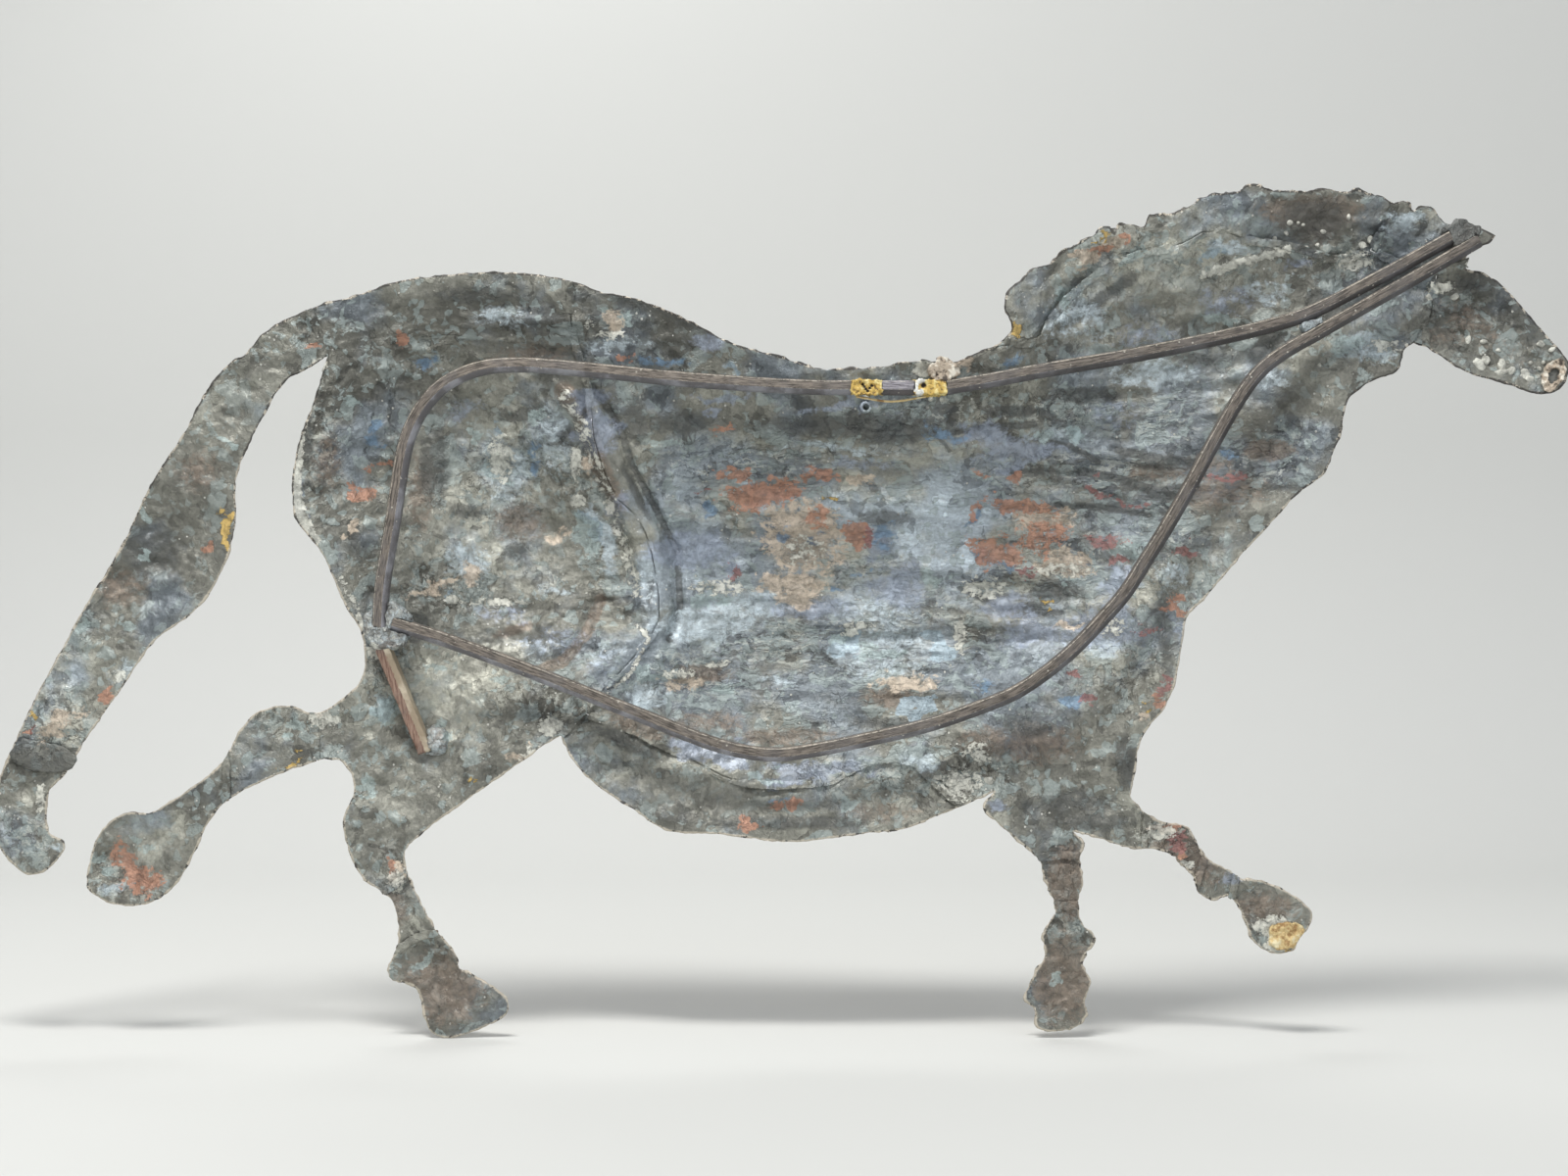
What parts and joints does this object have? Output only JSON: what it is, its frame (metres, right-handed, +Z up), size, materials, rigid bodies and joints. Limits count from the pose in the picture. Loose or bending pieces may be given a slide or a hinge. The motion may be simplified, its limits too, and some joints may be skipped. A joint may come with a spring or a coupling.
{
  "type": "horse wall sculpture",
  "caption": "Trotting horse cut and hammered from sheet metal, brazed from several panels and stiffened behind by a frame of square bar that hangs flat on a wall",
  "frame": {"origin": "middle of the rear face of the short bar spliced into the top bar, at the hanging place", "axes": "+Z up, +Y into the wall, so the display side looks along -Y and the horse faces -X"},
  "size_m": [1.0669, 0.0762, 0.5759],
  "materials": {
    "bronze_sheet": "hammered sheet, heat-stained, with grey-green and blue patina",
    "braze_bead": "lumpy brazed bead, dull, with pale oxide",
    "frame_bar": "square bar, oxidised brown, with worn pale edges",
    "brass_fill": "rough brass braze, yellow",
    "weld_lump": "rough weld metal, dark grey with pale spatter",
    "dark_patch": "lapped patch, dark oxide"
  },
  "bodies": {
    "root": {"tail_panel": "bronze_sheet", "tail_tip": "bronze_sheet", "haunch_panel": "bronze_sheet", "body_panel": "bronze_sheet", "belly_panel": "bronze_sheet", "far_hind_gaskin": "bronze_sheet", "far_hind_cannon": "bronze_sheet", "near_hind_cannon": "bronze_sheet", "near_hind_hoof": "bronze_sheet", "mane_panel": "bronze_sheet", "forelock_piece": "bronze_sheet", "head_panel": "bronze_sheet", "standing_fore_shin": "bronze_sheet", "standing_fore_hoof": "bronze_sheet", "raised_fore_shin": "bronze_sheet", "raised_fore_fetlock": "bronze_sheet", "raised_fore_pastern": "bronze_sheet", "raised_fore_hoof": "bronze_sheet", "tail_root_braze": "braze_bead", "haunch_bead": "braze_bead", "belly_bead": "braze_bead", "far_hind_root_bead": "braze_bead", "far_hock_bead": "braze_bead", "near_cannon_bead": "braze_bead", "near_hoof_bead": "braze_bead", "mane_bead": "braze_bead", "mane_lock_bead": "braze_bead", "forelock_bead": "braze_bead", "head_bead": "braze_bead", "standing_knee_bead": "braze_bead", "standing_shin_bead": "braze_bead", "raised_shin_bead": "braze_bead", "raised_fetlock_bead": "braze_bead", "raised_pastern_bead": "braze_bead", "raised_hoof_bead": "braze_bead", "top_bar_rear": "frame_bar", "splice_bar": "frame_bar", "top_bar_front": "frame_bar", "lower_bar": "frame_bar", "stub_bar": "frame_bar", "splice_braze_rear": "brass_fill", "splice_braze_front": "brass_fill", "hoof_patch": "brass_fill", "tie_wire": "brass_fill", "hip_weld": "weld_lump", "stub_foot_weld": "weld_lump", "neck_weld": "weld_lump", "head_weld": "weld_lump", "withers_weld": "weld_lump", "muzzle_rim": "weld_lump", "sheet_ring": "weld_lump", "tail_patch": "dark_patch"}
  },
  "joints": []
}
